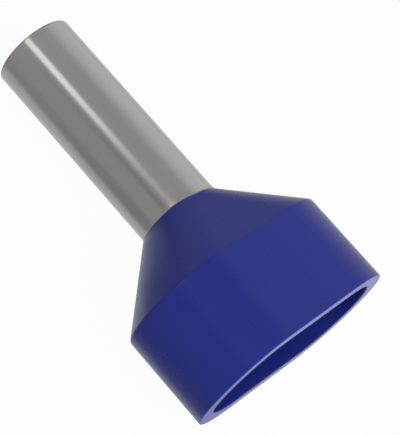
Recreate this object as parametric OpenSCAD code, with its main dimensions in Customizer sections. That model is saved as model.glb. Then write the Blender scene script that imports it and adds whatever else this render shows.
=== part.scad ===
// Wire-end ferrule for two conductors: a thin metal sleeve in a moulded oval collar.
//
// Each piece is drawn upright on its own axis, with the collar's mouth at z = 0, the wide way of
// the oval along Y and the sleeve's tip at the top. lay_down() then turns the whole ferrule onto
// its side as it comes to rest: on the lower edge of the collar's shoulder and the rim of the tip.
// Sizes are in millimetres.

/* [Sleeve] */
// Outside diameter of the tube
sleeve_od = 3.5; // [3:0.1:4.2]
// Wall thickness of the tube
sleeve_wall = 0.2; // [0.1:0.05:0.4]
// Length of the whole tube, with its flared end
sleeve_len = 11.1; // [8:0.1:18]
// Length of the flare, which ends under the collar's neck
flare_len = 1.8; // [1.2:0.1:1.9]
// How far the flared lip stands out past the tube, all round
flare_rise = 0.35; // [0.15:0.05:0.45]
// How far the tube's axis stands off the middle of the collar, across its width
sleeve_shift = 0.16; // [0:0.02:0.2]

/* [Collar] */
// Width of the collar, the wide way of its oval
collar_w = 10; // [8:0.1:13]
// Height of the collar, the narrow way of its oval
collar_h = 6.1; // [5.8:0.1:7.5]
// Wall thickness round the mouth
collar_wall = 0.7; // [0.4:0.05:0.8]
// Length of the straight part, from the mouth to the shoulder
straight_len = 4.1; // [3.9:0.1:6]
// Length of the taper, from the shoulder to the neck
taper_len = 2.95; // [2.6:0.05:5]
// How far the taper runs in under the tube's surface, so that the neck ends in a fine edge
neck_sink = 0.1; // [0.05:0.05:0.3]

/* [Wire entry] */
// Depth of the oval pocket behind the mouth
pocket_depth = 3.8; // [3:0.1:3.9]
// Length of the funnel that leads from the pocket to the flared lip
funnel_len = 1.3; // [0.9:0.1:1.5]

/* [Fit] */
// Gap between the sleeve and the collar, all round
fit_gap = 0.01; // [0.005:0.005:0.05]

/* [Hidden] */

$fn = 96;
hull_fn = 48; // sides of the rounds that a hull blends
slice = 0.01; // thickness of the end sections of a hull
over = 0.5; // how far a cut runs past the face it opens

// sleeve
sleeve_r = sleeve_od / 2;
bore_r = sleeve_r - sleeve_wall;
lip_r = sleeve_r + flare_rise;
lip_z = pocket_depth + funnel_len;
bell_z = lip_z + flare_len;
tip_z = lip_z + sleeve_len;

// collar: an oval with full-round ends, which closes in on the sleeve above the shoulder
end_r = collar_h / 2;
end_y = collar_w / 2 - end_r;
neck_r = sleeve_r - neck_sink;
neck_z = straight_len + taper_len;

// resting place: the line from the shoulder's lower edge to the tip's rim lies on the ground
lie_angle = atan((end_r - sleeve_r) / (tip_z - straight_len));
ground_drop = straight_len * sin(lie_angle) + end_r * cos(lie_angle);
mid_x = (tip_z * cos(lie_angle) - (end_r - sleeve_r) * sin(lie_angle)) / 2;

// Turns an upright piece into the resting place, with the tip towards +X and the middle of the
// ferrule's length over the origin.
module lay_down() {
    translate([-mid_x, 0, ground_drop])
        rotate([0, 90 + lie_angle, 0])
            children();
}

// Oval outline whose ends are half rounds of the given radius about the collar's two end centres.
module oval(radius) {
    for (side = [-1, 1])
        translate([0, side * end_y])
            circle(r = radius);
    square([2 * radius, 2 * end_y], center = true);
}

// Moves a piece drawn on the collar's axis onto the sleeve's own axis.
module on_sleeve_axis() {
    translate([0, -sleeve_shift, 0])
        children();
}

// Solid that blends from the oval at z = 0 to a round at the given height, with its centre at round_y.
module oval_to_round(height, oval_r, round_r, round_y) {
    hull() {
        linear_extrude(slice)
            oval(oval_r, $fn = hull_fn);
        translate([0, round_y, height - slice])
            cylinder(r = round_r, h = slice, $fn = hull_fn);
    }
}

// The thin tube: straight to its tip, with one end belled out to hold it in the collar.
module sleeve() {
    color([0.72, 0.71, 0.69])
        lay_down()
            on_sleeve_axis()
                rotate_extrude()
                    polygon([
                        [bore_r, tip_z],
                        [sleeve_r, tip_z],
                        [sleeve_r, bell_z],
                        [lip_r, lip_z],
                        [lip_r - sleeve_wall, lip_z],
                        [bore_r, bell_z]
                    ]);
}

// Outer form of the collar: a straight oval, then the taper to the neck.
module collar_body() {
    linear_extrude(straight_len)
        oval(end_r);
    translate([0, 0, straight_len])
        oval_to_round(taper_len, end_r, neck_r, 0);
}

// Room for the two insulated wires: the pocket and the funnel behind it.
module wire_entry() {
    inner_r = end_r - collar_wall;
    translate([0, 0, -over])
        linear_extrude(pocket_depth + over)
            oval(inner_r);
    translate([0, 0, pocket_depth - slice])
        oval_to_round(funnel_len + slice, inner_r, lip_r + fit_gap, -sleeve_shift);
}

// Seat of the sleeve: the cone that its flare lies in, and the bore up through the neck.
module sleeve_seat() {
    top_z = max(neck_z, bell_z) + over;
    on_sleeve_axis()
        rotate_extrude()
            polygon([
                [0, lip_z - slice],
                [lip_r + fit_gap, lip_z - slice],
                [sleeve_r + fit_gap, bell_z],
                [sleeve_r + fit_gap, top_z],
                [0, top_z]
            ]);
}

// The moulded collar, one piece.
module collar() {
    color([0.12, 0.14, 0.5])
        lay_down()
            difference() {
                collar_body();
                wire_entry();
                sleeve_seat();
            }
}

sleeve();
collar();
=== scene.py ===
"""Twin wire ferrule: a tinned copper sleeve in an oval moulded collar, lit in a small studio."""

import logging
import math
from dataclasses import dataclass, field
from enum import Enum
from typing import Any, Callable, Union

import bpy
from mathutils import Matrix, Vector


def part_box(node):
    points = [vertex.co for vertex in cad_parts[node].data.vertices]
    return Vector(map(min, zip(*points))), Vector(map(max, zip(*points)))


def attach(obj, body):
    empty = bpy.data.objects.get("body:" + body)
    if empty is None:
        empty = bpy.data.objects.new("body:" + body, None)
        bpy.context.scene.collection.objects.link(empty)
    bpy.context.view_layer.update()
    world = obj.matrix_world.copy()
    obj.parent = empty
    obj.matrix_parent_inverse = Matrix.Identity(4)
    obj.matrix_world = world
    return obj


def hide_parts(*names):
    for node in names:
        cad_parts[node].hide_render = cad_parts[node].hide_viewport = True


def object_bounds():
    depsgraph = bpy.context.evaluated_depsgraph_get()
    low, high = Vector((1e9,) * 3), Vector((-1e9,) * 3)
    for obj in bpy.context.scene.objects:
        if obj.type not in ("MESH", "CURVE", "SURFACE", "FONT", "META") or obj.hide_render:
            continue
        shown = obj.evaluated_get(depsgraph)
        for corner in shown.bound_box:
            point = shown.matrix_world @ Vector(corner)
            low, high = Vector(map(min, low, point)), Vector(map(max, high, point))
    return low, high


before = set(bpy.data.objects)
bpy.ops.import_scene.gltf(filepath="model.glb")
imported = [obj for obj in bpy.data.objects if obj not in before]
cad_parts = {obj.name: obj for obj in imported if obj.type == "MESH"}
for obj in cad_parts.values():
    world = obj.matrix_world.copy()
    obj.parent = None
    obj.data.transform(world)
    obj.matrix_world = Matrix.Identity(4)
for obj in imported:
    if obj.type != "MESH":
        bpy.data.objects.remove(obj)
CAD_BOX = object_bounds()

LOG = logging.getLogger("wire_ferrule")
MM = 0.001
TINY = 1e-9
WHITE = (1.0, 1.0, 1.0)
BLACK = (0.0, 0.0, 0.0)

# Numbers that each ring carries besides its sizes, and the mark that tells the lip from the skin.
RING_NUMBERS = ("aside", "along", "inward")
LIP_MARK = "lip"

Socket = bpy.types.NodeSocket


class Value:
    """One socket of a node tree that can stand in an ordinary sum."""

    def __init__(self, tree: "Tree", socket: Socket) -> None:
        """Wraps a socket.

        Args:
            tree: The tree that new Math nodes are added to.
            socket: The output socket that carries the number.
        """
        self.tree = tree
        self.socket = socket

    def __add__(self, other: "Term") -> "Value":
        """Sum of the two."""
        return self.tree.maths("ADD", self, other)

    def __radd__(self, other: "Term") -> "Value":
        """Sum with a plain number first."""
        return self.tree.maths("ADD", other, self)

    def __sub__(self, other: "Term") -> "Value":
        """This less the other."""
        return self.tree.maths("SUBTRACT", self, other)

    def __rsub__(self, other: "Term") -> "Value":
        """The other less this."""
        return self.tree.maths("SUBTRACT", other, self)

    def __mul__(self, other: "Term") -> "Value":
        """Product of the two."""
        return self.tree.maths("MULTIPLY", self, other)

    def __rmul__(self, other: "Term") -> "Value":
        """Product with a plain number first."""
        return self.tree.maths("MULTIPLY", other, self)

    def __truediv__(self, other: "Term") -> "Value":
        """This over the other."""
        return self.tree.maths("DIVIDE", self, other)

    def __rtruediv__(self, other: "Term") -> "Value":
        """The other over this."""
        return self.tree.maths("DIVIDE", other, self)

    def __neg__(self) -> "Value":
        """This with its sign turned."""
        return self.tree.maths("MULTIPLY", self, -1.0)

    def __pow__(self, other: "Term") -> "Value":
        """This to the power of the other."""
        return self.tree.maths("POWER", self, other)

    def __gt__(self, other: "Term") -> "Value":
        """1 where this is the greater, else 0."""
        return self.tree.maths("GREATER_THAN", self, other)

    def __lt__(self, other: "Term") -> "Value":
        """1 where this is the lesser, else 0."""
        return self.tree.maths("LESS_THAN", self, other)


Term = Union[Value, int, float]
Colour = Union[Socket, tuple[float, float, float]]


class Tree:
    """A node tree with one way to add any node and short ways to do sums."""

    def __init__(self, tree: bpy.types.NodeTree) -> None:
        """Wraps a tree.

        Args:
            tree: A shader or geometry node tree.
        """
        self.tree = tree

    def node(
        self, kind: str, settings: dict[str, Any], sockets: dict[Union[str, int], Any]
    ) -> bpy.types.Node:
        """Adds a node, sets its settings and then its sockets.

        Args:
            kind: The node's type name.
            settings: Properties of the node, set first.
            sockets: Inputs by name or index, each with a plain value, a Value or a socket to link.

        Returns:
            The new node.
        """
        node = self.tree.nodes.new(kind)
        for name, setting in settings.items():
            setattr(node, name, setting)
        for key, given in sockets.items():
            target = node.inputs[key]
            if isinstance(given, Value):
                self.tree.links.new(given.socket, target)
            elif isinstance(given, Socket):
                self.tree.links.new(given, target)
            else:
                target.default_value = given
        return node

    def value(self, node: bpy.types.Node, output: Union[str, int] = 0) -> Value:
        """An output of a node as a Value."""
        return Value(self, node.outputs[output])

    def maths(self, operation: str, *terms: Term) -> Value:
        """Adds a Math node.

        Args:
            operation: The Math node's operation.
            terms: One to three numbers or Values.

        Returns:
            The result.
        """
        node = self.node("ShaderNodeMath", {"operation": operation}, dict(enumerate(terms)))
        return self.value(node)

    def sine(self, angle: Term) -> Value:
        """Sine of an angle in radians."""
        return self.maths("SINE", angle)

    def cosine(self, angle: Term) -> Value:
        """Cosine of an angle in radians."""
        return self.maths("COSINE", angle)

    def root(self, number: Term) -> Value:
        """Square root."""
        return self.maths("SQRT", number)

    def mix(self, share: Term, first: Term, second: Term) -> Value:
        """Moves from the first to the second.

        Args:
            share: 0 gives the first and 1 the second.
            first: A number or Value.
            second: A number or Value.

        Returns:
            The mixed number.
        """
        settings = {"data_type": "FLOAT", "clamp_factor": True}
        return self.value(self.node("ShaderNodeMix", settings, {0: share, 2: first, 3: second}))

    def ease(self, number: Term, start: float, end: float) -> Value:
        """Moves softly from 0 to 1.

        Args:
            number: A number or Value.
            start: Where the move starts.
            end: Where it has reached 1.

        Returns:
            The share of the move as a Value.
        """
        node = self.node(
            "ShaderNodeMapRange",
            {"interpolation_type": "SMOOTHSTEP"},
            {"Value": number, "From Min": start, "From Max": end},
        )
        return self.value(node)

    def larger(self, first: Term, second: Term) -> Value:
        """The larger of two numbers."""
        return self.maths("MAXIMUM", first, second)

    def blend(self, share: Term, first: Colour, second: Colour, mode: str = "MIX") -> Socket:
        """A colour between two colours.

        Args:
            share: 0 gives the first colour and 1 the second.
            first: Three numbers or a colour socket.
            second: Three numbers or a colour socket.
            mode: How the second is laid on the first.

        Returns:
            The colour socket.
        """
        first, second = ((*c, 1.0) if isinstance(c, tuple) else c for c in (first, second))
        settings = {"data_type": "RGBA", "blend_type": mode, "clamp_factor": True}
        return self.node("ShaderNodeMix", settings, {0: share, 6: first, 7: second}).outputs[2]

    def grey(self, level: Term) -> Socket:
        """A grey of that level, held between black and white."""
        return self.blend(level, BLACK, WHITE)

    def split(self, vector: Socket) -> tuple[Value, Value, Value]:
        """The three parts of a vector."""
        node = self.node("ShaderNodeSeparateXYZ", {}, {0: vector})
        return self.value(node, 0), self.value(node, 1), self.value(node, 2)

    def join(self, x: Term, y: Term, z: Term) -> Socket:
        """A vector from its three parts."""
        return self.node("ShaderNodeCombineXYZ", {}, {0: x, 1: y, 2: z}).outputs[0]


def fresh_tree(owner: Union[bpy.types.Material, bpy.types.World]) -> Tree:
    """Gives a material or a world an empty node tree.

    Args:
        owner: The new material or world.

    Returns:
        Its tree.
    """
    owner.use_nodes = True
    owner.node_tree.nodes.clear()
    return Tree(owner.node_tree)


def place_object(name: str, data: bpy.types.ID) -> bpy.types.Object:
    """Puts a new object in the scene.

    Args:
        name: The object's name.
        data: Its mesh, lamp or camera.

    Returns:
        The object, at the origin.
    """
    made = bpy.data.objects.new(name, data)
    bpy.context.scene.collection.objects.link(made)
    return made


@dataclass(frozen=True)
class LyingPose:
    """How the ferrule, drawn upright with its mouth at height 0, lies on its side on the ground."""

    collar_half_height: float = 3.05 * MM
    sleeve_radius: float = 1.75 * MM
    shoulder_height: float = 4.1 * MM
    tip_height: float = 16.2 * MM

    @property
    def drop(self) -> float:
        """How much further the collar's skin stands from the axis than the sleeve's."""
        return self.collar_half_height - self.sleeve_radius

    @property
    def dip(self) -> float:
        """Angle in radians by which the sleeve's tip dips to touch the ground."""
        return math.atan(self.drop / (self.tip_height - self.shoulder_height))

    @property
    def turn(self) -> float:
        """Angle in radians about Y that lays the upright ferrule down."""
        return math.radians(90.0) + self.dip

    @property
    def shift(self) -> Vector:
        """Move that centres the laid ferrule and stands it on the ground.

        Returns:
            The move in metres.
        """
        sine, cosine = math.sin(self.dip), math.cos(self.dip)
        middle = (self.tip_height * cosine - self.drop * sine) / 2
        lift = self.shoulder_height * sine + self.collar_half_height * cosine
        return Vector((-middle, 0.0, lift))


POSE = LyingPose()


@dataclass(frozen=True)
class Ring:
    """One ring of a lofted wall: two half circles a set distance apart, at one height.

    The half circles' centres stand off its middle by the offset, and the middle stands aside.
    On the collar's taper, along is the share of the way from the shoulder to the neck, and it is -1
    elsewhere. On the lip, inward is the share of the way in from the neck to the sleeve.
    """

    offset: float
    radius: float
    height: float
    aside: float = 0.0
    along: float = -1.0
    inward: float = 0.0


@dataclass(frozen=True)
class Corner:
    """A corner of a wall's outline, with the length that its rounding takes off each side."""

    offset: float
    radius: float
    height: float
    round_off: float
    aside: float = 0.0

    def place(self) -> Vector:
        """Offset, radius, height and shift as one vector."""
        return Vector((self.offset, self.radius, self.height, self.aside))


class Span(Enum):
    """How many rings a straight run of wall gets."""

    SHORT = 2
    LONG = 5


@dataclass
class Outline:
    """A run of corners turned into rings: rounded corners, with close rings on each side of them.

    The guard is the distance of those close rings. A rounding takes no more than the side share of
    a side, and a run of wall shorter than the least run has no rings of its own.
    """

    corners: list[Corner]
    arc_steps: int = 6
    guard: float = 0.09 * MM
    least_run: float = 0.225 * MM
    long_run: float = 1.0 * MM
    side_share: float = 0.45

    def rings(self) -> list[Ring]:
        """Rings from the first corner to the last; the two end corners stay sharp.

        Returns:
            The rings in order.
        """
        points: list[Vector] = [self.corners[0].place()]
        for index in range(1, len(self.corners) - 1):
            points.extend(self._arc(index))
        points.append(self.corners[-1].place())
        full: list[Vector] = [points[0]]
        for point in points[1:]:
            full.extend(self._filled(full[-1], point))
        return [Ring(*point) for point in full]

    def _arc(self, index: int) -> list[Vector]:
        """Points of a rounded corner.

        Args:
            index: The corner's place in the list.

        Returns:
            Points in order, each as offset, radius, height and shift.
        """
        corner = self.corners[index]
        here = corner.place()
        before = self.corners[index - 1].place() - here
        after = self.corners[index + 1].place() - here
        first = here + before.normalized() * min(corner.round_off, before.length * self.side_share)
        last = here + after.normalized() * min(corner.round_off, after.length * self.side_share)
        points = []
        for step in range(self.arc_steps + 1):
            t = step / self.arc_steps
            points.append(first * (1 - t) ** 2 + here * 2 * t * (1 - t) + last * t ** 2)
        return points

    def _filled(self, start: Vector, end: Vector) -> list[Vector]:
        """Extra points between two points that are far apart.

        Args:
            start: The point that the run starts from.
            end: The point that it ends in.

        Returns:
            The extra points, if any, and the end point.
        """
        run = end - start
        if run.length < self.least_run:
            return [end]
        near = run.normalized() * self.guard
        steps = Span.LONG.value if run.length > self.long_run else Span.SHORT.value
        inner = run - 2 * near
        return [start + near + inner * (i / steps) for i in range(steps + 1)] + [end]


class Loft:
    """The Geometry Nodes tree that makes a closed, lofted wall from rings.

    The clearance keeps a whole number off the step that it is tested against. The two crown powers
    say how late on the taper the crown starts, and how narrow it is.
    """

    clearance: float = 0.25
    crown_onset: int = 6
    crown_narrowness: int = 13
    weld: float = 4e-7
    inputs: dict[str, tuple[str, ...]] = {
        "Geometry": ("Rings",),
        "Int": ("Half Turn Steps", "Ring Count"),
        "Float": (
            *("Shoulder Offset", "Shoulder Radius", "Shoulder Height"),
            *("Neck Radius", "Neck Height", "Land Radius", "Bore Radius", "Bore Shift"),
            *("Lip Rise", "Crown", "Turn"),
        ),
        "Vector": ("Shift",),
        "Material": ("Finish",),
    }

    def __init__(self) -> None:
        """Builds the tree and keeps the identifiers of its inputs."""
        self.group = bpy.data.node_groups.new("ring_loft", "GeometryNodeTree")
        self.names: dict[str, str] = {}
        self._interface()
        self._build()

    def _interface(self) -> None:
        """Names the tree's inputs and its output."""
        face = self.group.interface
        for kind, names in self.inputs.items():
            for name in names:
                socket = face.new_socket(name=name, in_out="INPUT", socket_type="NodeSocket" + kind)
                self.names[name] = socket.identifier
        face.new_socket(name="Wall", in_out="OUTPUT", socket_type="NodeSocketGeometry")

    def _build(self) -> None:
        """Adds the nodes: a grid wrapped round the rings, then closed, laid down and dressed."""
        t = Tree(self.group)
        given = t.node("NodeGroupInput", {}, {})

        def ask(name: str) -> Value:
            """One of the tree's inputs by name."""
            return t.value(given, name)

        # The columns run up one half circle and down the other, each with both its ends. The rows
        # are the rings. The first column and the first row come again last, to close the wall.
        half, count = ask("Half Turn Steps"), ask("Ring Count")
        size = {"Vertices X": 2 * half + 3, "Vertices Y": count + 1}
        grid = t.node("GeometryNodeMeshGrid", {}, size)
        index = t.value(t.node("GeometryNodeInputIndex", {}, {}))
        column = t.maths("FLOOR", (index + self.clearance) / (count + 1))
        row = index - column * (count + 1)
        ring = t.maths("MODULO", row + self.clearance, count)
        step = t.maths("MODULO", column + self.clearance, 2 * half + 2) - self.clearance
        second = step > half + self.clearance
        angle = (step - second) / half * math.pi - math.pi / 2
        place, inward = self._place(t, ask, ring, angle, 1 - 2 * second)
        moving = {"Geometry": grid.outputs[0], "Position": place}
        moved = t.node("GeometryNodeSetPosition", {}, moving)
        marked = t.node(
            "GeometryNodeStoreNamedAttribute",
            {"data_type": "FLOAT", "domain": "POINT"},
            {"Geometry": moved.outputs[0], "Name": LIP_MARK, "Value": inward},
        )
        welding = {"Geometry": marked.outputs[0], "Distance": self.weld}
        closed = t.node("GeometryNodeMergeByDistance", {}, welding)
        outward = t.node("GeometryNodeFlipFaces", {}, {"Mesh": closed.outputs[0]})
        smooth = t.node("GeometryNodeSetShadeSmooth", {}, {"Geometry": outward.outputs[0]})
        laying = {
            "Geometry": smooth.outputs[0],
            "Translation": given.outputs["Shift"],
            "Rotation": t.join(0.0, ask("Turn"), 0.0),
        }
        laid = t.node("GeometryNodeTransform", {}, laying)
        real = t.node("GeometryNodeRealizeInstances", {}, {"Geometry": laid.outputs[0]})
        dressing = {"Geometry": real.outputs[0], "Material": given.outputs["Finish"]}
        dressed = t.node("GeometryNodeSetMaterial", {}, dressing)
        t.node("NodeGroupOutput", {}, {"Wall": dressed.outputs[0]})

    def _place(
        self, t: Tree, ask: Callable[[str], Value], ring: Value, angle: Value, side: Value
    ) -> tuple[Socket, Value]:
        """Where a point of the wall goes on the upright ferrule.

        Args:
            t: The tree.
            ask: Gives one of the tree's inputs by name.
            ring: Index of the point's ring.
            angle: Angle round the point's half circle.
            side: 1 on the first half circle and -1 on the second.

        Returns:
            The place as a vector, and the ring's share of the way in over the lip.
        """
        stored = t.node("GeometryNodeInputPosition", {}, {}).outputs[0]
        offset, radius, height = t.split(self._sampled(t, ask, "FLOAT_VECTOR", stored, ring))
        stores = (self._stored(t, name) for name in RING_NUMBERS)
        numbers = (self._sampled(t, ask, "FLOAT", store, ring) for store in stores)
        aside, along, inward = (Value(t, number) for number in numbers)
        lean = t.cosine(angle)
        share = along * self._cut(t, ask, lean, side)
        tapered = along > -self.clearance
        drop = ask("Neck Radius") - ask("Shoulder Radius")
        rise = ask("Neck Height") - ask("Shoulder Height")
        offset = t.mix(tapered, offset, ask("Shoulder Offset") * (1 - share))
        radius = t.mix(tapered, radius, ask("Shoulder Radius") + drop * share)
        height = t.mix(tapered, height, ask("Shoulder Height") + rise * share)
        wide = side * offset + radius * lean + aside
        thick = radius * t.sine(angle)
        centre = ask("Bore Shift")
        reach = t.root((wide - centre) * (wide - centre) + thick * thick)
        keep = 1 - inward * (reach - ask("Bore Radius")) / t.larger(reach, TINY)
        height = height + ask("Lip Rise") * inward * (2 - inward)
        upwards = thick / t.larger(reach, TINY)
        peak = share ** self.crown_onset * (upwards * upwards) ** self.crown_narrowness
        height = height + ask("Crown") * tapered * peak
        return t.join(thick * keep, centre + (wide - centre) * keep, height), inward

    @staticmethod
    def _stored(t: Tree, name: str) -> Socket:
        """A named number of the rings."""
        node = t.node("GeometryNodeInputNamedAttribute", {"data_type": "FLOAT"}, {"Name": name})
        return node.outputs[0]

    @staticmethod
    def _sampled(
        t: Tree, ask: Callable[[str], Value], kind: str, stored: Socket, ring: Value
    ) -> Socket:
        """What is stored on one of the rings.

        Args:
            t: The tree.
            ask: Gives one of the tree's inputs by name.
            kind: The type of what is stored.
            stored: The rings' own number or vector.
            ring: Index of the ring.

        Returns:
            The number's or vector's socket.
        """
        settings = {"data_type": kind, "domain": "POINT"}
        sockets = {"Geometry": ask("Rings"), "Value": stored, "Index": ring}
        return t.node("GeometryNodeSampleIndex", settings, sockets).outputs[0]

    @staticmethod
    def _cut(t: Tree, ask: Callable[[str], Value], lean: Value, side: Value) -> Value:
        """Share of the taper at which its wall meets the land round the bore.

        The wall's distance from the bore's axis equals the land's radius there: a quadratic.

        Args:
            t: The tree.
            ask: Gives one of the tree's inputs by name.
            lean: Cosine of the angle round the half circle.
            side: 1 on the first half circle and -1 on the second.

        Returns:
            The share, from 0 at the shoulder to 1 at the neck.
        """
        start = side * ask("Shoulder Offset") - ask("Bore Shift")
        move = -side * ask("Shoulder Offset")
        radius = ask("Shoulder Radius")
        fall = ask("Neck Radius") - radius
        land = ask("Land Radius")
        square = move * move + fall * fall + 2 * lean * move * fall
        linear = 2 * (start * move + radius * fall + lean * (start * fall + move * radius))
        plain = start * start + radius * radius + 2 * lean * start * radius - land * land
        inside = t.larger(linear * linear - 4 * square * plain, 0.0)
        share = (-linear - t.root(inside)) / t.larger(2 * square, TINY)
        return t.maths("MINIMUM", t.larger(share, 0.0), 1.0)

    def make(
        self, name: str, rings: list[Ring], sizes: dict[str, float], finish: bpy.types.Material
    ) -> bpy.types.Object:
        """Runs the tree on a set of rings and returns a plain mesh object, laid down.

        Args:
            name: Name of the new piece.
            rings: The rings of the closed wall, in order.
            sizes: Sizes and counts for the tree's inputs, by name.
            finish: The piece's material.

        Returns:
            The piece, at the origin with its place in its mesh.
        """
        mesh = bpy.data.meshes.new(name + "_rings")
        mesh.from_pydata([(r.offset, r.radius, r.height) for r in rings], [], [])
        for key in RING_NUMBERS:
            layer = mesh.attributes.new(key, "FLOAT", "POINT")
            layer.data.foreach_set("value", [getattr(r, key) for r in rings])
        carrier = place_object(name + "_rings", mesh)
        modifier = carrier.modifiers.new("loft", "NODES")
        modifier.node_group = self.group
        shared = {"Turn": POSE.turn, "Shift": POSE.shift, "Finish": finish}
        for key, given in {"Ring Count": len(rings), **sizes, **shared}.items():
            modifier[self.names[key]] = given
        depsgraph = bpy.context.evaluated_depsgraph_get()
        evaluated = carrier.evaluated_get(depsgraph)
        made = bpy.data.meshes.new_from_object(evaluated, depsgraph=depsgraph)
        carrier.modifiers.remove(modifier)
        bpy.data.objects.remove(carrier)
        made.name = name
        made.materials.clear()
        made.materials.append(finish)
        made.polygons.foreach_set("material_index", [0] * len(made.polygons))
        for key in RING_NUMBERS:
            if key in made.attributes:
                made.attributes.remove(made.attributes[key])
        return place_object(name, made)


class Finish:
    """What the finishes share: a pattern that sits on the upright ferrule, in millimetres."""

    name: str = "finish"
    fine_layers: float = 3.0
    layer_share: float = 0.55

    def material(self) -> bpy.types.Material:
        """The finished material.

        Returns:
            A new node-based material.
        """
        made = bpy.data.materials.new(self.name)
        t = fresh_tree(made)
        where = t.node("ShaderNodeTexCoord", {}, {})
        upright = t.node(
            "ShaderNodeMapping",
            {"vector_type": "TEXTURE"},
            {
                "Vector": where.outputs["Object"],
                "Location": POSE.shift,
                "Rotation": (0.0, POSE.turn, 0.0),
                "Scale": (MM, MM, MM),
            },
        )
        shader = self.shade(t, upright.outputs[0])
        t.node("ShaderNodeOutputMaterial", {}, {"Surface": shader.outputs[0]})
        return made

    def shade(self, t: Tree, upright: Socket) -> bpy.types.Node:
        """The shader on the upright millimetre coordinates."""
        raise NotImplementedError

    @classmethod
    def noise(cls, t: Tree, vector: Socket, scale: float, detail: float = 2.0) -> Value:
        """Even noise from 0 to 1.

        Args:
            t: The tree.
            vector: Where the noise is read.
            scale: Waves in one unit of the vector.
            detail: Number of finer layers.

        Returns:
            The noise as a Value.
        """
        sockets = {"Vector": vector, "Scale": scale, "Detail": detail, "Roughness": cls.layer_share}
        return t.value(t.node("ShaderNodeTexNoise", {"noise_dimensions": "3D"}, sockets))

    @staticmethod
    def drawn_out(t: Tree, vector: Socket, squeeze: float) -> Socket:
        """The coordinates with their height squeezed, which draws a pattern out that way."""
        sockets = {0: vector, 1: (1.0, 1.0, squeeze)}
        return t.node("ShaderNodeVectorMath", {"operation": "MULTIPLY"}, sockets).outputs[0]


@dataclass(frozen=True)
class TinnedCopper(Finish):
    """Satin tin on drawn copper tube: fine lines along the tube and soft patches of duller tin.

    The three shares say how much the lines, the broad streaks and the patches count in the colour.
    The tip's end has painted shade, a dark line along its edge, from the one height to the other in
    millimetres.
    """

    name: str = "satin_tin"
    dark: tuple[float, float, float] = (0.375, 0.366, 0.357)
    light: tuple[float, float, float] = (0.425, 0.415, 0.405)
    shares: tuple[float, float, float] = (0.45, 0.35, 0.2)
    # Painted shade: a dark line along the tip's edge.
    tip_edge_shade: tuple[float, float, float] = (0.25, 0.245, 0.24)
    tip_edge_shade_start: float = 16.13
    tip_edge_shade_full: float = 16.17
    roughness: float = 0.20
    roughness_swing: float = 0.06
    patch_dulling: float = 0.6
    line_dulling: float = 0.4
    line_scale: float = 26.0
    line_squeeze: float = 0.02
    line_depth: float = 0.0012 * MM
    streak_scale: float = 2.4
    streak_squeeze: float = 0.12
    streak_bump: float = 0.3
    bump_strength: float = 0.35
    patch_scale: float = 1.1

    def shade(self, t: Tree, upright: Socket) -> bpy.types.Node:
        """The shader on the upright millimetre coordinates.

        Args:
            t: The material's tree.
            upright: The upright millimetre coordinates.

        Returns:
            The shader node.
        """
        drawn = self.drawn_out(t, upright, self.line_squeeze)
        lines = self.noise(t, drawn, self.line_scale, self.fine_layers)
        streaks = self.noise(t, self.drawn_out(t, upright, self.streak_squeeze), self.streak_scale)
        patches = self.noise(t, upright, self.patch_scale)
        line_share, streak_share, patch_share = self.shares
        tone = line_share * lines + streak_share * streaks + patch_share * patches
        colour = t.blend(tone, self.dark, self.light)
        _, _, height = t.split(upright)
        # Painted shade along the tip's edge.
        colour = t.blend(t.ease(height, self.tip_edge_shade_start, self.tip_edge_shade_full), colour, self.tip_edge_shade)
        swing = self.patch_dulling * patches + self.line_dulling * lines - 0.5
        bump = t.node(
            "ShaderNodeBump",
            {},
            {
                "Height": lines + self.streak_bump * streaks,
                "Strength": self.bump_strength,
                "Distance": self.line_depth,
            },
        )
        return t.node(
            "ShaderNodeBsdfPrincipled",
            {},
            {
                "Base Color": colour,
                "Metallic": 1.0,
                "Roughness": self.roughness + self.roughness_swing * swing,
                "Normal": bump.outputs[0],
            },
        )


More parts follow.
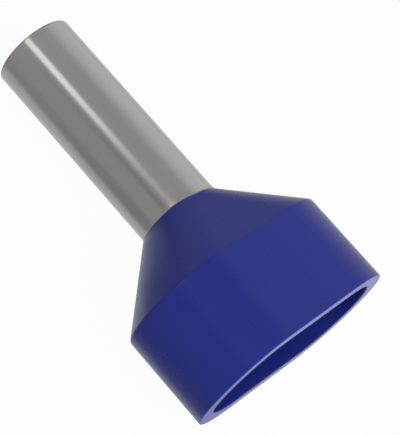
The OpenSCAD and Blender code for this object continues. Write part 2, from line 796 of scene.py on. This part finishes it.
@dataclass(frozen=True)
class BluePlastic(Finish):
    """Moulded polypropylene in blue: a faint grain from the mould and a faint swirl of the pigment.

    The rim's painted highlight has faded out at the rim depth. Painted shade fills the pocket,
    which is given by a depth and by the offset and radius of an oval that runs inside the collar's
    wall. These are in millimetres. The lip has all of its painted highlight from the highlight
    share of its mark on.
    """

    name: str = "moulded_blue"
    dark: tuple[float, float, float] = (0.011, 0.020, 0.215)
    light: tuple[float, float, float] = (0.015, 0.026, 0.25)
    swirl_share: float = 0.8
    grain_share: float = 0.2
    roughness: float = 0.28
    roughness_swing: float = 0.07
    grain_scale: float = 16.0
    grain_depth: float = 0.0015 * MM
    bump_strength: float = 0.25
    swirl_scale: float = 0.55
    swirl_squeeze: float = 0.5
    ior: float = 1.34
    # Painted highlight along the neck's edge, laid on the lip.
    lip_highlight: tuple[float, float, float] = (0.30, 0.32, 0.53)
    lip_highlight_share: float = 0.3
    # Painted highlight on the mouth's face, lighter than the plastic.
    rim_highlight: tuple[float, float, float] = (0.08, 0.09, 0.46)
    rim_highlight_depth: float = 0.02
    # Painted shade inside the pocket.
    pocket_shade: tuple[float, float, float] = (0.012, 0.021, 0.185)
    pocket_offset: float = 1.95
    pocket_radius: float = 2.5
    pocket_depth: float = 4.05

    def shade(self, t: Tree, upright: Socket) -> bpy.types.Node:
        """The shader on the upright millimetre coordinates.

        Args:
            t: The material's tree.
            upright: The upright millimetre coordinates.

        Returns:
            The shader node.
        """
        grain = self.noise(t, upright, self.grain_scale, self.fine_layers)
        drawn = self.drawn_out(t, upright, self.swirl_squeeze)
        swirl = self.noise(t, drawn, self.swirl_scale, self.fine_layers)
        tone = self.swirl_share * swirl + self.grain_share * grain
        colour = self._toned(t, upright, t.blend(tone, self.dark, self.light))
        swing = (grain + swirl) / 2 - 0.5
        relief = {"Height": grain, "Strength": self.bump_strength, "Distance": self.grain_depth}
        bump = t.node("ShaderNodeBump", {}, relief)
        return t.node(
            "ShaderNodeBsdfPrincipled",
            {},
            {
                "Base Color": colour,
                "Roughness": self.roughness + self.roughness_swing * swing,
                "IOR": self.ior,
                "Normal": bump.outputs[0],
            },
        )

    def _toned(self, t: Tree, upright: Socket, colour: Socket) -> Socket:
        """The colour, with painted shade inside the pocket and painted highlights on the rim and
        the lip.

        Args:
            t: The tree.
            upright: The upright millimetre coordinates.
            colour: The plain colour.

        Returns:
            The colour socket.
        """
        thick, wide, height = t.split(upright)
        # Painted shade: the inside of the pocket is painted darker.
        past = t.larger(t.maths("ABSOLUTE", wide) - self.pocket_offset, 0.0)
        pocket_shade_mask = t.root(thick * thick + past * past) < self.pocket_radius
        colour = t.blend(pocket_shade_mask * (height < self.pocket_depth), colour, self.pocket_shade)
        # The mouth's face is painted lighter: a painted highlight.
        colour = t.blend(1 - t.ease(height, 0.0, self.rim_highlight_depth), colour, self.rim_highlight)
        # The lip is painted pale: a painted highlight along the neck's edge.
        naming = {"attribute_type": "GEOMETRY", "attribute_name": LIP_MARK}
        mark = t.value(t.node("ShaderNodeAttribute", naming, {}), "Fac")
        return t.blend(t.ease(mark, 0.0, self.lip_highlight_share), colour, self.lip_highlight)


@dataclass(frozen=True)
class Pool:
    """A painted pool of light on the paper, right under one of the solids, which the metal and the
    plastic mirror.

    It keeps its level up to its edge, a distance outside the solid's box, and fades out by its end.
    """

    node: str
    level: float
    edge: float
    end: float


@dataclass(frozen=True)
class FloorPaper:
    """White paper that stays white to the eye, keeps a soft shadow and shows in the metal as greys.

    The levels are those greys, painted: behind the ferrule, in front of it, in the painted shade
    beside its collar and its tip, and in the painted pools of light right under the solids.
    """

    name: str = "floor_paper"
    colour: tuple[float, float, float] = (0.45, 0.45, 0.45)
    shown: float = 0.965
    back_level: float = 0.79
    front_level: float = 0.56
    shaded_level: float = 0.43
    shaded_tip_level: float = 0.48
    shade_edge: float = 2.6 * MM
    shade_end: float = 9.0 * MM
    back_edge: float = -4.0 * MM
    front_edge: float = 4.0 * MM
    # Painted pools of light under the solids.
    pools: tuple[Pool, ...] = (
        Pool(node="sleeve", level=0.78, edge=0.3 * MM, end=1.8 * MM),
        Pool(node="collar", level=0.74, edge=0.0, end=0.5 * MM),
    )

    def material(self) -> bpy.types.Material:
        """The paper's material.

        Returns:
            A new node-based material.
        """
        made = bpy.data.materials.new(self.name)
        t = fresh_tree(made)
        path = t.node("ShaderNodeLightPath", {}, {})
        seen = t.value(path, "Is Camera Ray")
        mirrored = t.value(path, "Is Glossy Ray") + t.value(path, "Is Transmission Ray")
        paper = t.node("ShaderNodeBsdfDiffuse", {}, {"Color": (*self.colour, 1.0)})
        white = t.node("ShaderNodeEmission", {}, {"Color": (*WHITE, 1.0), "Strength": 1.0})
        # Painted reflection: what glossy rays see of the paper, with painted light and painted
        # shade.
        painted_mirror_image = t.node("ShaderNodeEmission", {}, {"Color": self._mirror_image(t), "Strength": 1.0})
        shader = paper.outputs[0]
        for share, cover in ((self.shown * seen, white), (mirrored, painted_mirror_image)):
            sockets = {0: share, 1: shader, 2: cover.outputs[0]}
            shader = t.node("ShaderNodeMixShader", {}, sockets).outputs[0]
        t.node("ShaderNodeOutputMaterial", {}, {"Surface": shader})
        return made

    def _mirror_image(self, t: Tree) -> Socket:
        """The paper as reflections show it: painted light under the solids and painted shade round
        them.

        Args:
            t: The paper's tree.

        Returns:
            The colour socket.
        """
        where = t.node("ShaderNodeTexCoord", {}, {})
        x, y, _ = t.split(where.outputs["Object"])
        gaps = [self._away(t, x, y, pool.node) for pool in self.pools]
        clear = t.ease(t.maths("MINIMUM", *gaps), self.shade_edge, self.shade_end)
        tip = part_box("sleeve")[1][0]
        shaded = t.mix(t.ease(x, 0.0, tip), self.shaded_level, self.shaded_tip_level)
        front = t.mix(clear, shaded, self.front_level)
        level = t.mix(t.ease(y, self.back_edge, self.front_edge), self.back_level, front)
        for pool, gap in zip(self.pools, gaps):
            level = t.mix(t.ease(gap, pool.edge, pool.end), pool.level, level)
        return t.grey(level)

    @staticmethod
    def _away(t: Tree, x: Value, y: Value, node: str) -> Value:
        """Distance on the ground from the outline of a solid's box.

        Args:
            t: The tree.
            x: Place along X.
            y: Place along Y.
            node: Name of the solid.

        Returns:
            The distance, 0 inside the outline.
        """
        low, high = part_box(node)
        gaps = []
        for place, axis in ((x, 0), (y, 1)):
            middle, half = (low[axis] + high[axis]) / 2, (high[axis] - low[axis]) / 2
            gaps.append(t.larger(t.maths("ABSOLUTE", place - middle) - half, 0.0))
        return t.root(gaps[0] * gaps[0] + gaps[1] * gaps[1])


@dataclass
class SleeveTube:
    """The drawn copper tube with its flared lip inside the collar.

    The wall's outline starts and ends on the skin, the start distance back from the tip.
    """

    loft: Loft
    finish: TinnedCopper = field(default_factory=TinnedCopper)
    outer_radius: float = 1.75 * MM
    wall: float = 0.2 * MM
    lip_radius: float = 2.1 * MM
    lip_height: float = 5.1 * MM
    bell_height: float = 6.9 * MM
    tip_height: float = 16.2 * MM
    tip_round: float = 0.03 * MM
    bell_round: float = 0.35 * MM
    start_back: float = 2.0 * MM
    shift: float = -0.16 * MM
    half_turn_steps: int = 72

    def outline(self) -> list[Ring]:
        """Rings of the tube's wall, out along its skin and back through its bore.

        Returns:
            The rings in order, the last of them next to the first.
        """
        bore = self.outer_radius - self.wall
        start = self.tip_height - self.start_back
        outline = [
            (self.outer_radius, start, 0.0),
            (self.outer_radius, self.tip_height, self.tip_round),
            (bore, self.tip_height, self.tip_round),
            (bore, self.bell_height, self.bell_round),
            (self.lip_radius - self.wall, self.lip_height, self.tip_round),
            (self.lip_radius, self.lip_height, self.tip_round),
            (self.outer_radius, self.bell_height, self.bell_round),
            (self.outer_radius, start, 0.0),
        ]
        return Outline([Corner(0.0, *place, self.shift) for place in outline]).rings()[:-1]

    def build(self) -> bpy.types.Object:
        """Makes the tube and puts it in the place of its solid.

        Returns:
            The finished piece.
        """
        piece = self.loft.make(
            "sleeve_tube",
            self.outline(),
            {
                "Half Turn Steps": self.half_turn_steps,
                "Land Radius": self.outer_radius,
                "Bore Radius": self.outer_radius,
                "Bore Shift": self.shift,
            },
            self.finish.material(),
        )
        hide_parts("sleeve")
        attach(piece, "root")
        return piece


@dataclass
class MouldedCollar:
    """The oval collar: a straight skirt, a taper down to the sleeve, and a pocket with a funnel.

    The taper ends in a land, a narrow lip that rises towards the sleeve, and its crown lifts the
    neck's end above and below. The taper shares are the places of its rings from shoulder to neck.
    """

    loft: Loft
    finish: BluePlastic = field(default_factory=BluePlastic)
    end_offset: float = 1.95 * MM
    end_radius: float = 3.05 * MM
    wall: float = 0.7 * MM
    straight: float = 4.1 * MM
    neck_radius: float = 1.695 * MM
    neck_height: float = 7.02 * MM
    pocket_depth: float = 3.8 * MM
    funnel_end: float = 5.1 * MM
    funnel_radius: float = 2.11 * MM
    seat_top: float = 6.64 * MM
    seat_radius: float = 1.76 * MM
    seat_shift: float = -0.16 * MM
    land: float = 0.03 * MM
    lip_rise: float = 0.065 * MM
    crown: float = 0.065 * MM
    mouth_round: float = 0.05 * MM
    shoulder_round: float = 0.06 * MM
    pocket_round: float = 0.25 * MM
    funnel_round: float = 0.12 * MM
    seat_flare: float = 0.05 * MM
    half_turn_steps: int = 72
    taper_shares: tuple[float, ...] = (0.05, 0.08, 0.2, 0.35, 0.5, 0.65, 0.8, 0.92, 0.97, 1.0)
    land_steps: int = 4

    def outline(self) -> list[Ring]:
        """Rings of the collar's wall, up its skin, over the neck and down through the pocket.

        Returns:
            The rings in order, the last of them next to the first.
        """
        e, r = self.end_offset, self.end_radius
        inner, shift = r - self.wall, self.seat_shift
        mouth = Corner(e, r - self.wall / 2, 0.0, 0.0)
        skin = Outline(
            [
                mouth,
                Corner(e, r, 0.0, self.mouth_round),
                Corner(e, r, self.straight, self.shoulder_round),
                Corner(0.0, self.neck_radius, self.neck_height, 0.0),
            ]
        ).rings()
        shoulder_end = self.straight + 2 * self.shoulder_round
        rings = [ring for ring in skin if ring.height < shoulder_end]
        rings += [Ring(e, r, self.straight, along=share) for share in self.taper_shares]
        for step in range(1, self.land_steps + 1):
            rings.append(Ring(e, r, self.straight, along=1.0, inward=step / self.land_steps))
        core = Outline(
            [
                Corner(0.0, self.seat_radius + self.seat_flare, self.seat_top, 0.0, shift),
                Corner(0.0, self.funnel_radius, self.funnel_end, self.funnel_round, shift),
                Corner(e, inner, self.pocket_depth, self.pocket_round),
                Corner(e, inner, 0.0, self.mouth_round),
                mouth,
            ]
        ).rings()
        return rings + core[:-1]

    def build(self) -> bpy.types.Object:
        """Makes the collar and puts it in the place of its solid.

        Returns:
            The finished piece.
        """
        piece = self.loft.make(
            "moulded_collar",
            self.outline(),
            {
                "Half Turn Steps": self.half_turn_steps,
                "Shoulder Offset": self.end_offset,
                "Shoulder Radius": self.end_radius,
                "Shoulder Height": self.straight,
                "Neck Radius": self.neck_radius,
                "Neck Height": self.neck_height,
                "Land Radius": self.seat_radius + self.land,
                "Bore Radius": self.seat_radius,
                "Bore Shift": self.seat_shift,
                "Lip Rise": self.lip_rise,
                "Crown": self.crown,
            },
            self.finish.material(),
        )
        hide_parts("collar")
        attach(piece, "root")
        return piece


@dataclass(frozen=True)
class SoftBox:
    """A rectangular studio lamp that faces the ferrule, with its angles in degrees.

    Its level is how bright its face is, and turn spins it about the line to the ferrule.
    """

    name: str
    bearing: float
    elevation: float
    distance: float
    width: float
    length: float
    level: float
    turn: float = 0.0
    mirrored: bool = True
    tint: tuple[float, float, float] = WHITE

    def build(self, target: Vector) -> bpy.types.Object:
        """Hangs the lamp.

        Args:
            target: The point that it faces.

        Returns:
            The lamp.
        """
        data = bpy.data.lights.new(self.name, "AREA")
        data.shape = "RECTANGLE"
        data.size = self.width
        data.size_y = self.length
        data.color = self.tint
        data.energy = self.level * math.pi * self.width * self.length
        lamp = place_object(self.name, data)
        lamp.visible_glossy = self.mirrored
        a, e = math.radians(self.bearing), math.radians(self.elevation)
        out = Vector((math.cos(a) * math.cos(e), math.sin(a) * math.cos(e), math.sin(e)))
        facing = out.to_track_quat("Z", "Y").to_matrix().to_4x4()
        spin = Matrix.Rotation(math.radians(self.turn), 4, "Z")
        lamp.matrix_world = Matrix.Translation(target + out * self.distance) @ facing @ spin
        return lamp


@dataclass(frozen=True)
class ViewPoint:
    """The camera: where it aims, from which side and how far away, with its angles in degrees."""

    aim: tuple[float, float, float] = (-1.587 * MM, -0.747 * MM, 2.970 * MM)
    distance: float = 62.052 * MM
    azimuth: float = -168.938
    elevation: float = 49.229
    roll: float = -44.203
    lens: float = 128.625
    sensor: float = 36.0
    clip_start: float = 1.0 * MM
    clip_end: float = 10.0

    def build(self) -> bpy.types.Object:
        """Makes the camera the scene's own.

        Returns:
            The camera.
        """
        data = bpy.data.cameras.new("viewpoint")
        data.lens = self.lens
        data.sensor_width = self.sensor
        data.clip_start = self.clip_start
        data.clip_end = self.clip_end
        camera = place_object("viewpoint", data)
        a, e = math.radians(self.azimuth), math.radians(self.elevation)
        back = Vector((math.sin(a) * math.cos(e), -math.cos(a) * math.cos(e), math.sin(e)))
        level = (-back).cross(Vector((0.0, 0.0, 1.0))).normalized()
        upright = level.cross(-back)
        tilt = math.radians(self.roll)
        up = upright * math.cos(tilt) + level * math.sin(tilt)
        right = (-back).cross(up)
        turn = Matrix((right, up, back)).transposed().to_4x4()
        camera.matrix_world = Matrix.Translation(Vector(self.aim) + back * self.distance) @ turn
        bpy.context.scene.camera = camera
        return camera


@dataclass(frozen=True)
class Spot:
    """A soft round patch of the room that is darker or lighter than the wall round it.

    Edge and full are angles in degrees from its middle: where it starts, and where it is full. A
    level above 1 gives it a flat white middle.
    """

    towards: tuple[float, float, float]
    level: float
    edge: float
    full: float

    def over(self, t: Tree, direction: Socket, level: Value) -> Value:
        """Lays the patch over the wall's level.

        Args:
            t: The world's tree.
            direction: The direction that is looked in.
            level: The wall's level.

        Returns:
            The level with the patch.
        """
        towards = Vector(self.towards).normalized()
        sockets = {0: direction, 1: towards}
        facing = t.node("ShaderNodeVectorMath", {"operation": "DOT_PRODUCT"}, sockets)
        edge, full = math.cos(math.radians(self.edge)), math.cos(math.radians(self.full))
        return t.mix(t.ease(t.value(facing, "Value"), edge, full), level, self.level)


@dataclass(frozen=True)
class Room:
    """The light round the ferrule: plain grey, with the window and the walls that the tin mirrors.

    Edges and ends are parts of the direction looked in. The window's lie along Y, the end wall's
    along X, and the patch overhead fades out along both.
    """

    plain: float = 0.40
    shown: float = 0.965
    front: float = 0.56
    window: float = 0.97
    window_edge: float = -0.85
    window_end: float = -0.2
    end_wall: float = 0.80
    end_edge: float = 0.35
    end_full: float = 0.65
    overhead: float = 0.67
    overhead_along: tuple[float, float] = (0.22, 0.42)
    overhead_side: tuple[float, float] = (0.42, 0.62)
    wall_tint: tuple[float, float, float] = (1.0, 0.955, 0.948)
    spots: tuple[Spot, ...] = (
        Spot(towards=(0.24, 0.825, 0.51), level=0.36, edge=10.0, full=2.0),
        Spot(towards=(0.209, 0.601, 0.771), level=1.60, edge=5.5, full=1.0),
    )

    def build(self) -> None:
        """Sets the scene's world: one tone for the light, walls for mirrors, white for the eye."""
        world = bpy.data.worlds.new("room")
        t = fresh_tree(world)
        direction = t.node("ShaderNodeTexCoord", {}, {}).outputs["Generated"]
        along, side, _ = t.split(direction)
        above = (1 - t.ease(along, *self.overhead_along)) * (1 - t.ease(side, *self.overhead_side))
        level = t.mix(above, self.front, self.overhead)
        for spot in self.spots:
            level = spot.over(t, direction, level)
        walled = t.ease(side, self.window_edge, self.window_end)
        ended = t.ease(along, self.end_edge, self.end_full)
        level = t.mix(ended, t.mix(walled, self.window, level), self.end_wall)
        path = t.node("ShaderNodeLightPath", {}, {})
        mirrored = t.value(path, "Is Glossy Ray") + t.value(path, "Is Transmission Ray")
        colour = t.blend(walled * (1 - ended), t.grey(level), self.wall_tint, "MULTIPLY")
        colour = t.blend(mirrored, (self.plain,) * 3, colour)
        colour = t.blend(t.value(path, "Is Camera Ray"), colour, (self.shown,) * 3)
        glow = t.node("ShaderNodeBackground", {}, {"Color": colour, "Strength": 1.0})
        t.node("ShaderNodeOutputWorld", {}, {"Surface": glow.outputs[0]})
        bpy.context.scene.world = world


@dataclass
class Studio:
    """Floor, lamps, surrounding light and camera; floor_half is half a side of the paper."""

    floor_half: float = 0.4
    room: Room = field(default_factory=Room)
    lamps: tuple[SoftBox, ...] = (
        SoftBox(
            name="mouth_side_lamp",
            bearing=158.0,
            elevation=47.0,
            distance=0.30,
            width=0.30,
            length=0.30,
            level=2.92,
            mirrored=False,
        ),
        SoftBox(
            name="small_lamp",
            bearing=50.3,
            elevation=44.3,
            distance=0.16,
            width=0.026,
            length=0.037,
            level=1.8,
            turn=34.7,
            tint=(1.0, 0.985, 0.98),
        ),
    )
    viewpoint: ViewPoint = field(default_factory=ViewPoint)
    paper: FloorPaper = field(default_factory=FloorPaper)

    def build(self) -> None:
        """Makes the whole studio."""
        self._floor()
        self.room.build()
        target = Vector((0.0, 0.0, CAD_BOX[1].z / 2))
        for lamp in self.lamps:
            lamp.build(target)
        self.viewpoint.build()
        bpy.context.scene.view_settings.view_transform = "Standard"

    def _floor(self) -> None:
        """Lays the paper that the ferrule lies on."""
        s = self.floor_half
        mesh = bpy.data.meshes.new("floor")
        corners = [(-s, -s, 0.0), (s, -s, 0.0), (s, s, 0.0), (-s, s, 0.0)]
        mesh.from_pydata(corners, [], [(0, 1, 2, 3)])
        mesh.materials.append(self.paper.material())
        floor = place_object("floor", mesh)


def report(piece: bpy.types.Object) -> None:
    """Logs a finished piece's name, number of faces and box in millimetres.

    Args:
        piece: The finished piece.
    """
    corners = [Vector(c) / MM for c in piece.bound_box]
    low = [round(min(c[i] for c in corners), 3) for i in range(3)]
    high = [round(max(c[i] for c in corners), 3) for i in range(3)]
    LOG.info("%s: %d faces, from %s to %s mm", piece.name, len(piece.data.polygons), low, high)


def main() -> None:
    """Builds the ferrule's two pieces and the studio."""
    logging.basicConfig(level=logging.INFO, format="%(name)s %(message)s")
    loft = Loft()
    report(SleeveTube(loft).build())
    report(MouldedCollar(loft).build())
    Studio().build()


if __name__ == "__main__":
    main()
